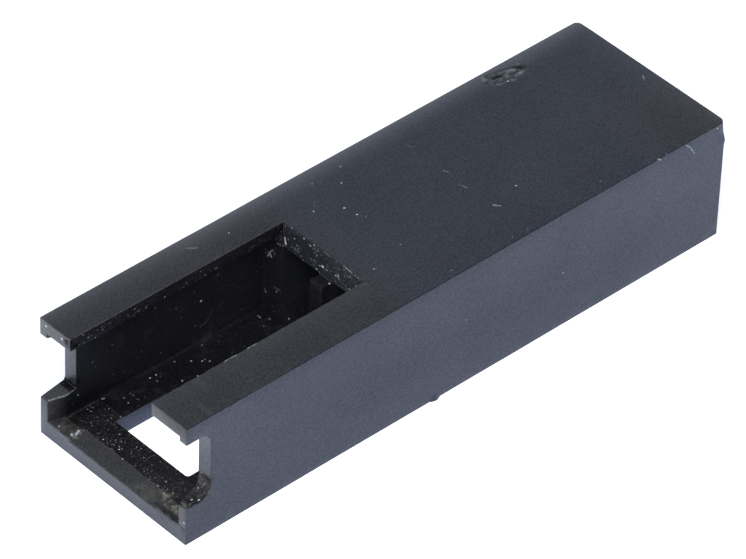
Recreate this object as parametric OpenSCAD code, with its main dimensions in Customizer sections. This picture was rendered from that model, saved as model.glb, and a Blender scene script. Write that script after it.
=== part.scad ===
// Empty pin-contact housing of a wire-to-wire pin header, moulded in one piece.
// X runs from the mating mouth (-X) to the wire entries (+X), Y across, Z up to the keyway.
// The origin is in the middle of the underside. Millimetres.

/* [Envelope] */
// Number of contacts side by side
circuits = 2; // [2:1:6]
// Distance between neighbouring contacts
pitch = 2.54; // [2.3:0.02:3.2]
// From the outer contact's half pitch to the outside of the side wall
end_margin = 1.27; // [1.1:0.01:2]
// Length from mouth to rear
length = 25.4; // [21:0.1:40]
// Height from underside to top
height = 5.28; // [5:0.02:8]
// Radius of the upright rear corners above the parting line
rear_corner_r = 0.25; // [0.1:0.05:0.6]
// How far the rounded part of the rear corners reaches down from the top
rear_corner_h = 0.56; // [0.3:0.02:1.5]

/* [Mating cavity] */
// Depth from the mouth to the end wall
cavity_depth = 9.7; // [7:0.1:12]
// Thickness of each side wall
side_wall = 0.64; // [0.5:0.02:0.9]
// Thickness of the floor
floor_wall = 0.8; // [0.6:0.02:1.2]
// Thickness of the roof beside the keyway
roof_wall = 0.56; // [0.45:0.01:0.9]
// Radius where the floor meets the side walls
floor_fillet_r = 0.18; // [0.05:0.01:0.4]

/* [Keyway] */
// Width of the slot in the roof
keyway_w = 4.2; // [2.5:0.1:5]

/* [Mouth] */
// How far the side notches reach in from the mouth
notch_depth = 1.1; // [0.6:0.05:1.6]
// Height of the wall that stays below each notch
notch_sill = 1.66; // [1.2:0.02:2]
// Height of the side wall that stays above each notch, under the roof
notch_lintel = 0.2; // [0.1:0.01:0.5]
// Radius of the notches' inner corners
notch_r = 0.4; // [0.1:0.05:0.6]
// Length of the lead-in at the mouth
lead_in_len = 0.62; // [0.3:0.02:1.2]
// How much the lead-in thins each side wall
lead_in_side = 0.27; // [0.1:0.01:0.4]
// How much the lead-in lowers the floor
lead_in_floor = 0.06; // [0.02:0.01:0.2]

/* [Latch] */
// From the mouth to the near edge of the window
window_start = 1.77; // [1.4:0.01:3]
// Length of the window
window_len = 2.3; // [1:0.05:3]
// Width of the window
window_w = 3.75; // [2.5:0.05:4.2]
// Radius of the window's corners
window_r = 0.12; // [0.05:0.01:0.3]
// Width of the latch ramp between mouth and window
ramp_w = 4.5; // [3:0.1:5]
// Length of the latch ramp
ramp_len = 0.68; // [0.3:0.02:1.2]
// How much the ramp lowers the floor at the mouth
ramp_drop = 0.17; // [0.08:0.01:0.35]

/* [Contact passages] */
// Wall between neighbouring passages
partition = 0.64; // [0.5:0.02:0.9]
// Height of each passage
passage_h = 2.72; // [2:0.02:3]
// How much wider the wire entry is than the passage, on each side
entry_relief = 0.1; // [0.05:0.01:0.15]
// Length of the wire entry, forward from the rear
entry_len = 5; // [3:0.1:6]
// Chamfer round each wire entry
entry_chamfer = 0.15; // [0.05:0.01:0.2]
// From the cavity's end wall to the catch that holds a contact
catch_setback = 4.4; // [2:0.1:6]
// Length of the catch
catch_len = 1.3; // [0.6:0.1:2]
// Height of the catch above the passage floor
catch_h = 0.4; // [0.2:0.02:0.7]

/* [Hidden] */
// Overlap of each cut past the face that it opens
over = 0.5;
$fn = 48;
plastic = [0.17, 0.18, 0.205];
width = circuits * pitch + 2 * end_margin;
mouth_x = -length / 2;
rear_x = length / 2;
end_wall_x = mouth_x + cavity_depth;
cavity_w = width - 2 * side_wall;
ceiling_z = height - roof_wall;
notch_top_z = ceiling_z - notch_lintel;
notch_corner_r = min(notch_r, notch_depth / 2, (notch_top_z - notch_sill) / 2);
window_x = mouth_x + window_start + window_len / 2;
passage_w = pitch - partition;
passage_z = (floor_wall + ceiling_z) / 2;
passage_low_z = passage_z - passage_h / 2;
entry_w = passage_w + 2 * entry_relief;
entry_h = passage_h + 2 * entry_relief;
entry_low_z = passage_low_z - entry_relief;

function contact_y(i) = (i - (circuits - 1) / 2) * pitch;

// Extrudes an outline drawn in X and Z along Y, with its middle on the XZ plane
module across(w) {
    rotate([90, 0, 0])
        linear_extrude(height = w, center = true)
            children();
}

// Box that tapers from one cross-section to another, each given as [width, low z, high z]
module tapered_box(x0, start, x1, end) {
    low = min(start[1], end[1]) - over;
    high = max(start[2], end[2]) + over;
    intersection() {
        translate([0, 0, low])
            linear_extrude(height = high - low)
                polygon([
                    [x0, -start[0] / 2], [x1, -end[0] / 2],
                    [x1, end[0] / 2], [x0, start[0] / 2]
                ]);
        across(max(start[0], end[0]) + 2 * over)
            polygon([
                [x0, start[1]], [x1, end[1]],
                [x1, end[2]], [x0, start[2]]
            ]);
    }
}

// Outline of the block from above, with its rear corners rounded
module rounded_outline() {
    translate([mouth_x, -width / 2])
        square([length - rear_corner_r, width]);
    translate([mouth_x, -width / 2 + rear_corner_r])
        square([length, width - 2 * rear_corner_r]);
    for (side = [-1, 1])
        translate([rear_x - rear_corner_r, side * (width / 2 - rear_corner_r)])
            circle(r = rear_corner_r);
}

// Outer block, its rear corners round above the parting line and square below it
module block() {
    linear_extrude(height = height)
        rounded_outline();
    translate([mouth_x, -width / 2, 0])
        cube([length, width, height - rear_corner_h]);
}

// Cross-section of the mating cavity, in Y and Z, with rounded floor corners
module cavity_section() {
    rounded_w = cavity_w - 2 * floor_fillet_r;
    translate([-cavity_w / 2, floor_wall + floor_fillet_r])
        square([cavity_w, ceiling_z - floor_wall - floor_fillet_r]);
    translate([-rounded_w / 2, floor_wall])
        square([rounded_w, ceiling_z - floor_wall]);
    for (side = [-1, 1])
        translate([side * rounded_w / 2, floor_wall + floor_fillet_r])
            circle(r = floor_fillet_r);
}

// Space that takes the mating plug, and the keyway above it
module mating_cavity() {
    translate([mouth_x - over, 0, 0])
        rotate([90, 0, 90])
            linear_extrude(height = cavity_depth + over)
                cavity_section();
    translate([mouth_x - over, -keyway_w / 2, ceiling_z - over])
        cube([cavity_depth + over, keyway_w, roof_wall + 2 * over]);
}

// Flared entrance on the side walls and the floor
module lead_in() {
    tapered_box(
        mouth_x, [cavity_w + 2 * lead_in_side, floor_wall - lead_in_floor, ceiling_z],
        mouth_x + lead_in_len, [cavity_w, floor_wall, ceiling_z]
    );
}

// Notch through both side walls at the mouth, with round inner corners
module side_notches() {
    inner_x = mouth_x + notch_depth - notch_corner_r;
    across(width + 2 * over) {
        translate([mouth_x - over, notch_sill])
            square([inner_x - mouth_x + over, notch_top_z - notch_sill]);
        translate([mouth_x, notch_sill + notch_corner_r])
            square([notch_depth, notch_top_z - notch_sill - 2 * notch_corner_r]);
        for (z = [notch_sill + notch_corner_r, notch_top_z - notch_corner_r])
            translate([inner_x, z])
                circle(r = notch_corner_r);
    }
}

// Ramp that the plug's latch climbs
module latch_ramp() {
    across(ramp_w)
        polygon([
            [mouth_x, floor_wall - ramp_drop],
            [mouth_x + ramp_len, floor_wall],
            [mouth_x, floor_wall]
        ]);
}

// Window through the floor that the latch snaps into
module latch_window() {
    translate([window_x, 0, -over])
        linear_extrude(height = floor_wall + 2 * over) {
            square([window_len, window_w - 2 * window_r], center = true);
            square([window_len - 2 * window_r, window_w], center = true);
            for (dx = [-1, 1], dy = [-1, 1])
                translate([dx * (window_len / 2 - window_r), dy * (window_w / 2 - window_r)])
                    circle(r = window_r);
        }
}

// Catch on the passage floor: a slope for the contact going in, and a step that holds it
module contact_catch() {
    step_x = end_wall_x + catch_setback;
    across(passage_w + 2 * over)
        polygon([
            [step_x, passage_low_z - over],
            [step_x + catch_len, passage_low_z - over],
            [step_x + catch_len, passage_low_z],
            [step_x, passage_low_z + catch_h]
        ]);
}

// Way through for one contact and its wire
module contact_passage() {
    difference() {
        translate([end_wall_x - over, -passage_w / 2, passage_low_z])
            cube([rear_x - end_wall_x + over, passage_w, passage_h]);
        contact_catch();
    }
    translate([rear_x - entry_len, -entry_w / 2, entry_low_z])
        cube([entry_len + over, entry_w, entry_h]);
    tapered_box(
        rear_x - entry_chamfer, [entry_w, entry_low_z, entry_low_z + entry_h],
        rear_x, [
            entry_w + 2 * entry_chamfer,
            entry_low_z - entry_chamfer,
            entry_low_z + entry_h + entry_chamfer
        ]
    );
}

module housing() {
    color(plastic)
        difference() {
            block();
            mating_cavity();
            lead_in();
            side_notches();
            latch_ramp();
            latch_window();
            for (i = [0 : circuits - 1])
                translate([0, contact_y(i), 0])
                    contact_passage();
        }
}

housing();
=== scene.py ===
import math

import bmesh
import bpy
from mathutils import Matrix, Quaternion, Vector, noise


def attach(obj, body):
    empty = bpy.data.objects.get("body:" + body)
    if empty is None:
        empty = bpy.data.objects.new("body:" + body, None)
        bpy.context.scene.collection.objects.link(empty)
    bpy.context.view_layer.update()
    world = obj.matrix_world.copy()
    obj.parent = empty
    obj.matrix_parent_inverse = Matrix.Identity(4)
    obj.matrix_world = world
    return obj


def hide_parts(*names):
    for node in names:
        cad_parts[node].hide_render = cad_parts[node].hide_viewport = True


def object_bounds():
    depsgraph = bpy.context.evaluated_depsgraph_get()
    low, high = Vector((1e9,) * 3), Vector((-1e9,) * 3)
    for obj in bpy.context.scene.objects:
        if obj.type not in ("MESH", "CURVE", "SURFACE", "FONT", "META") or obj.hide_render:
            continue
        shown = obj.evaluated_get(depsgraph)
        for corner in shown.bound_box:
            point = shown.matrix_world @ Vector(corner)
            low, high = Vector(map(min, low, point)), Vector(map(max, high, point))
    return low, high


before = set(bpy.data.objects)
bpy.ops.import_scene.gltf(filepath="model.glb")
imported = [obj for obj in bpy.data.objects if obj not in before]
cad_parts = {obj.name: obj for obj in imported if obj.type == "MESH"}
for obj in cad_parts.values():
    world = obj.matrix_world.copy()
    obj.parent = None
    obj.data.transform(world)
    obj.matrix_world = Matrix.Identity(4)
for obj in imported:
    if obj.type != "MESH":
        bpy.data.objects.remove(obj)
cadLow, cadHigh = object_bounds()
mm = 0.001
print("frame loaded, box in mm:", [round(v / mm, 2) for v in (cadHigh - cadLow)])

# Where the features of the CAD solid lie, in mm
cad = {
    "mouth": cadLow.x / mm,
    "rear": cadHigh.x / mm,
    "side": cadHigh.y / mm,
    "top": cadHigh.z / mm,
    "rampEnd": -12.02,
    "notchEnd": -11.6,
    "lipEnd": -10.6,  # just past the window's near edge
    "endWall": -3.0,
    "wall": 3.17,  # inner face of the side walls
    "flare": 3.44,  # the same at the mouth
    "keyway": 2.1,  # half its width
    "floor": 0.8,
    "sill": 1.66,
    "scuffTop": 2.4,  # the rubbed finish ends here on the right notch's face
    "notchRadius": 0.4,
    "passageTop": 4.12,
    "ceiling": 4.72,
    "rearRadius": 0.25,  # of the upright rear corners, above the ceiling
}

# Camera, at the photograph's viewing angle
shot = {
    "aim": (0.436, 1.202, 1.381),  # mm, the point that the lens axis passes
    "azimuth": -43.83,
    "elevation": 40.24,
    "roll": 2.175,
    "distance": 212.08,  # mm
    "lens": 289.68,
    "clip": (0.02, 20),  # m
}


def makeCamera():
    azimuth, elevation = math.radians(shot["azimuth"]), math.radians(shot["elevation"])
    back = Vector((
        math.sin(azimuth) * math.cos(elevation),
        -math.cos(azimuth) * math.cos(elevation),
        math.sin(elevation),
    ))
    data = bpy.data.cameras.new("shotCamera")
    data.sensor_fit = "HORIZONTAL"
    data.lens = shot["lens"]
    data.clip_start, data.clip_end = shot["clip"]
    camera = bpy.data.objects.new("shotCamera", data)
    bpy.context.scene.collection.objects.link(camera)
    camera.location = (Vector(shot["aim"]) + back * shot["distance"]) * mm
    camera.rotation_mode = "QUATERNION"
    roll = Quaternion((0, 0, 1), math.radians(shot["roll"]))
    camera.rotation_quaternion = (-back).to_track_quat("-Z", "Y") @ roll
    bpy.context.scene.camera = camera


makeCamera()
print("camera placed")


plain = (1, 1, 1)  # no tint


# Small helpers for node trees
def put(tree, kind, inputs=None, **settings):
    made = tree.nodes.new("ShaderNode" + kind)
    for name, value in settings.items():
        setattr(made, name, value)
    for name, value in (inputs or {}).items():
        socket = made.inputs[name]
        if isinstance(value, bpy.types.NodeSocket):
            tree.links.new(value, socket)
        else:
            socket.default_value = value
    return made


def calc(tree, operation, first, second=0.0, clamp=False):
    return put(tree, "Math", {0: first, 1: second}, operation=operation, use_clamp=clamp).outputs[0]


def fade(tree, value, low, high, toLow=0.0, toHigh=1.0):
    sockets = {"Value": value, "From Min": low, "From Max": high, "To Min": toLow, "To Max": toHigh}
    return put(tree, "MapRange", sockets, interpolation_type="SMOOTHSTEP").outputs["Result"]


def blendColour(tree, factor, first, second):
    mixed = put(tree, "Mix", data_type="RGBA")
    for index, value in ((0, factor), (6, first), (7, second)):
        if isinstance(value, bpy.types.NodeSocket):
            tree.links.new(value, mixed.inputs[index])
        else:
            mixed.inputs[index].default_value = value if index == 0 else (*value, 1)
    return mixed.outputs[2]


def cloudy(tree, place, scale, detail, output="Fac"):
    return put(tree, "TexNoise", {"Vector": place, "Scale": scale, "Detail": detail}).outputs[output]


def vectorCalc(tree, operation, sockets, output="Vector"):
    return put(tree, "VectorMath", sockets, operation=operation).outputs[output]


def split(tree, place):
    return put(tree, "SeparateXYZ", {"Vector": place}).outputs


def multiply(tree, first, *others):
    for other in others:
        first = calc(tree, "MULTIPLY", first, other)
    return first


# Studio: pale floor that the camera and the gloss see as white, soft sky, large soft lamps
studio = {
    "floorSize": 4000,  # mm
    "floorColour": (0.86, 0.86, 0.86),
    "floorRoughness": 0.9,
    # Painted light: the floor glows for the camera, whiter in the part's footprint, and glows in
    # reflections, tinted blue beside the part and brighter in front of the mouth
    "floorGlow": 0.42,  # added for the camera
    "underGlow": 1.0,  # the same in the footprint, seen through the latch window
    "sideGlow": 0.48,  # added for reflections
    "windowGlow": 0.86,  # the same in the footprint
    "mouthGlow": 1.35,  # the same in front of the mouth
    "mouthFade": (0.99, 1.02),  # where that sets in, as shares of the way to the mouth
    "sideTint": (0.88, 1.03, 1.65),
    "mouthTint": (0.98, 1.0, 1.08),
    "horizonColour": (1.05, 1.1, 1.2),
    "skyColour": (0.37, 0.41, 0.50),
    "horizonHeight": 0.62,  # sine of the height at which the horizon's glow has gone
    "lamps": {
        "keyLamp": {"place": (-380, -300, 520), "size": 420, "watts": 3.4},
        "fillLamp": {"place": (260, -420, 420), "size": 420, "watts": 0.8},
    },
}


def makeFloor(scene):
    mesh = bpy.data.meshes.new("paleFloor")
    bm = bmesh.new()
    bmesh.ops.create_grid(bm, x_segments=1, y_segments=1, size=studio["floorSize"] * mm / 2)
    bm.to_mesh(mesh)
    bm.free()
    floor = bpy.data.objects.new("paleFloor", mesh)
    scene.collection.objects.link(floor)

    material = bpy.data.materials.new("paleFloor")
    material.use_nodes = True
    tree = material.node_tree
    path = put(tree, "LightPath").outputs
    place = put(tree, "TexCoord").outputs["Object"]
    sides = split(tree, vectorCalc(tree, "ABSOLUTE", {0: place}))
    # painted light: the footprint glows whiter for the camera and in reflections, the floor ahead of the
    # mouth brighter in reflections
    inside = calc(tree, "LESS_THAN", sides["X"], cadHigh.x)
    inside = multiply(tree, inside, calc(tree, "LESS_THAN", sides["Y"], cadHigh.y))
    seen = calc(tree, "MAXIMUM", path["Is Camera Ray"], path["Is Transmission Ray"])
    glow = multiply(tree, seen, fade(tree, inside, 0, 1, studio["floorGlow"], studio["underGlow"]))
    around = fade(tree, inside, 0, 1, studio["sideGlow"], studio["windowGlow"])
    along = split(tree, place)["X"]
    ahead = fade(tree, along, *(cadLow.x * share for share in studio["mouthFade"]))
    gloss = fade(tree, ahead, 0, 1, around, studio["mouthGlow"])
    glow = calc(tree, "ADD", glow, multiply(tree, path["Is Glossy Ray"], gloss))
    shader = tree.nodes["Principled BSDF"]
    shader.inputs["Base Color"].default_value = (*studio["floorColour"], 1)
    shader.inputs["Roughness"].default_value = studio["floorRoughness"]
    shader.inputs["Specular IOR Level"].default_value = 0.0
    tint = blendColour(tree, ahead, studio["sideTint"], studio["mouthTint"])
    tint = blendColour(tree, path["Is Glossy Ray"], plain, tint)
    tree.links.new(tint, shader.inputs["Emission Color"])
    tree.links.new(glow, shader.inputs["Emission Strength"])
    mesh.materials.append(material)


def makeLamp(scene, name, lamp):
    data = bpy.data.lights.new(name, "AREA")
    data.energy = lamp["watts"]
    data.size = lamp["size"] * mm
    made = bpy.data.objects.new(name, data)
    scene.collection.objects.link(made)
    made.location = Vector(lamp["place"]) * mm
    made.rotation_mode = "QUATERNION"
    made.rotation_quaternion = (-made.location).to_track_quat("-Z", "Y")


def makeStudio():
    scene = bpy.context.scene
    scene.view_settings.view_transform = "Standard"
    world = bpy.data.worlds.new("softSky")
    world.use_nodes = True
    scene.world = world
    tree = world.node_tree
    look = put(tree, "TexCoord").outputs["Generated"]
    rise = fade(tree, split(tree, look)["Z"], 0.0, studio["horizonHeight"])
    colour = blendColour(tree, rise, studio["horizonColour"], studio["skyColour"])
    tree.links.new(colour, tree.nodes["Background"].inputs["Color"])
    makeFloor(scene)
    for name, lamp in studio["lamps"].items():
        makeLamp(scene, name, lamp)


makeStudio()
print("studio ready")

# Finishes of the one moulded plastic, each a satin black with its own wear and dust; the cavity, passage,
# slot and ramp finishes are also lit and shaded copies of it, with painted light and shade.
# Specks are given as cells per mm, radius in mm and the share of the cells that have one.
finishes = {
    "satinOutside": {
        "dark": (0.013, 0.0137, 0.017),
        "light": (0.030, 0.0314, 0.040),
        "gloss": 0.5,
        "glossTint": (0.79, 0.872, 1.0),
        "roughness": (0.40, 0.52),
        "fineSpecks": (2.4, 0.03, 0.10),
        "coarseSpecks": (0.9, 0.04, 0.08),
        "speckColours": ((0.10, 0.10, 0.11), (0.25, 0.25, 0.27)),
        "wearAndSheenColour": (0.085, 0.087, 0.094),
        "wearAndSheen": 0.8,
    },
    # painted shade: darker and far less glossy than the outside
    "darkCavity": {
        "dark": (0.009, 0.009, 0.010),
        "light": (0.018, 0.018, 0.021),
        "gloss": 0.10,
        "roughness": (0.42, 0.56),
        "fineSpecks": (6.5, 0.03, 0.3),
        "coarseSpecks": (3.2, 0.04, 0.4),
        "speckColours": ((0.16, 0.14, 0.13), (0.9, 0.89, 0.88)),
        "wearAndSheenColour": (0.03, 0.03, 0.03),
        "wearAndSheen": 0.1,
    },
    # painted shade: darker and less glossy than the cavity walls
    "cavityFloor": {
        "dark": (0.006, 0.006, 0.007),
        "light": (0.012, 0.012, 0.014),
        "gloss": 0.08,
        "roughness": (0.42, 0.56),
        "fineSpecks": (6.5, 0.03, 0.35),
        "coarseSpecks": (3.4, 0.04, 0.45),
        "speckColours": ((0.16, 0.14, 0.12), (0.9, 0.89, 0.87)),
        "wearAndSheenColour": (0.02, 0.02, 0.02),
        "wearAndSheen": 0.1,
    },
    # painted light: a little lighter than the cavity walls, in the passages' deep shade
    "passageBlack": {
        "dark": (0.016, 0.017, 0.020),
        "light": (0.026, 0.027, 0.031),
        "gloss": 0.12,
        "roughness": (0.45, 0.6),
        "fineSpecks": (2.0, 0.03, 0.15),
        "coarseSpecks": (1.2, 0.05, 0.2),
        "speckColours": ((0.12, 0.10, 0.09), (0.5, 0.5, 0.5)),
        "wearAndSheenColour": (0.02, 0.02, 0.02),
        "wearAndSheen": 0.0,
    },
    # painted shade: near black under the rails
    "slotWall": {
        "dark": (0.005, 0.005, 0.007),
        "light": (0.011, 0.010, 0.014),
        "gloss": 0.09,
        "roughness": (0.5, 0.65),
        "fineSpecks": (12.0, 0.032, 0.7),
        "coarseSpecks": (6.0, 0.045, 0.65),
        "speckColours": ((0.19, 0.185, 0.19), (1.0, 0.99, 0.97)),
        "wearAndSheenColour": (0.05, 0.05, 0.05),
        "wearAndSheen": 0.1,
    },
    # painted light: lighter and glossier than the slot walls
    "slotBand": {
        "dark": (0.010, 0.010, 0.014),
        "light": (0.032, 0.032, 0.044),
        "gloss": 0.38,
        "roughness": (0.45, 0.6),
        "fineSpecks": (12.0, 0.034, 0.9),
        "coarseSpecks": (6.0, 0.046, 0.8),
        "speckColours": ((0.21, 0.21, 0.25), (1.0, 1.0, 1.0)),
        "wearAndSheenColour": (0.12, 0.12, 0.13),
        "wearAndSheen": 0.6,
    },
    # scuffed, and lighter as painted light against the shade of the walls over it
    "scuffedAndLitRamp": {
        "dark": (0.023, 0.023, 0.023),
        "light": (0.048, 0.047, 0.046),
        "gloss": 0.48,
        "roughness": (0.42, 0.58),
        "fineSpecks": (8.0, 0.03, 0.3),
        "coarseSpecks": (3.0, 0.035, 0.3),
        "speckColours": ((0.13, 0.12, 0.11), (0.6, 0.59, 0.58)),
        "wearAndSheenColour": (0.29, 0.275, 0.21),
        "wearAndSheen": 1.0,
    },
    "sparklyLip": {
        "dark": (0.005, 0.005, 0.005),
        "light": (0.018, 0.0165, 0.019),
        "gloss": 0.36,
        "roughness": (0.40, 0.56),
        "fineSpecks": (14.0, 0.03, 0.8),
        "coarseSpecks": (7.0, 0.036, 0.65),
        "speckColours": ((0.20, 0.19, 0.20), (1.0, 0.97, 0.95)),
        "wearAndSheenColour": (0.20, 0.19, 0.15),
        "wearAndSheen": 0.7,
    },
    "tornScar": {
        "dark": (0.021, 0.023, 0.026),
        "light": (0.050, 0.055, 0.059),
        "gloss": 0.5,
        "glossTint": (0.85, 0.94, 1.0),
        "roughness": (0.45, 0.6),
        "fineSpecks": (9.0, 0.035, 0.4),
        "coarseSpecks": (4.0, 0.045, 0.35),
        "speckColours": ((0.09, 0.10, 0.10), (0.34, 0.35, 0.34)),
        "wearAndSheenColour": (0.18, 0.19, 0.19),
        "wearAndSheen": 0.8,
    },
}

# Texture that all finishes share: each noise's scale per mm and detail, and the part that is used
texture = {
    "cloud": (0.35, 4.0),
    "clouds": (0.3, 0.7),
    "grain": (17.0, 5.0),
    "grainShare": 0.86,  # of the mottle, the clouds give the rest
    "mottle": (0.36, 0.64),
    "rub": (3.2, 4.0),
    "rubbed": (0.40, 0.62),
    "jolt": (11.0, 1.0),
    "joltMiddle": (0.5, 0.5, 0.5),
    "speckJolt": 0.08,  # mm that specks are pushed out of round
    "markJolt": 0.04,
    "glossSwing": 0.2,
    "wearAndSheenRoughness": 0.15,
    # grime and painted shade both darken to this colour
    "grimeAndShadeColour": (0.003, 0.003, 0.003),
    "bumpStrength": 0.35,
    "bumpHeight": 0.004,  # mm
    "speckHeight": 2.0,  # against the grain
}

# Specks: how soft they are, how they crowd together and how faint most of them are
dusting = {
    "core": 0.4,
    "crowdNoise": (1.3, 2.0),
    "crowd": (0.35, 0.65, 0.3, 1.5),
    "faintPower": 2.5,
    "faintest": 0.15,
}

# Broad changes of tone, in mm: where each starts and ends, and how strong it is. The rims, the sheens, the
# side's darker band, the top's fall to the right and the cavity's shade are painted light and shade.
tone = {
    "topEdge": 0.1,  # the top's own tones have set in this far below it
    "topInset": (0.03, 0.1),  # room to the side walls
    "wallDepth": 0.05,  # what lies nearer to the sides belongs to their outer faces
    "rimSheenColour": (0.13, 0.135, 0.145),
    "leftRimSheen": {"y": (2.4, 3.81), "share": 0.66, "power": 2.7, "x": (-9.0, -5.0), "mouth": 0.6},
    "rearRimSheen": {"x": (10.9, 12.7), "share": 0.14, "power": 2.5},
    "neutralMouth": (-1.8, -3.8),
    "neutralRear": {"x": (8.3, 11.8), "y": (0.8, -2.8)},
    "rightFall": {"y": (-1.8, -3.4), "loss": 0.11},
    "neutralTint": (0.98, 0.90, 0.74),
    "neutralGloss": (0.85, 0.875, 0.90),
    "bandLow": (0.4, 1.9),
    "bandHigh": (3.9, 2.4),
    "bandAlong": (-10.0, -3.0),
    "bandEnd": (12.5, 7.0),
    "bandLoss": 0.14,
    "rearSheen": {"x": (5.0, 12.0), "z": (1.0, 2.8), "gain": 0.13},
    "mouthSheen": {"x": (-8.6, -11.0), "z": (1.6, 3.0), "gain": 0.12},
    "notchSheen": {"x": (-11.72, -11.62, -11.4, -11.5), "y": (-2.9, -3.2), "gain": 0.5},
    "cavityShade": {"x": (-3.0, -11.3), "far": 1.25, "flare": (-11.95, -12.5), "flareShare": 1.4},
    "mouthShare": {"darkCavity": 0.66, "cavityFloor": 0.95},  # of the cavity's tone, near the mouth
    "smearColour": (0.034, 0.036, 0.044),
    "smearShare": 0.35,
    "smearNoise": {"Scale": 0.8, "Detail": 3.0, "Distortion": 2.5},
    "smearRange": (0.56, 0.70),
}


def lintAndGlint(width, tone, *path):
    return {"path": path, "width": width, "tone": tone}
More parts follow.
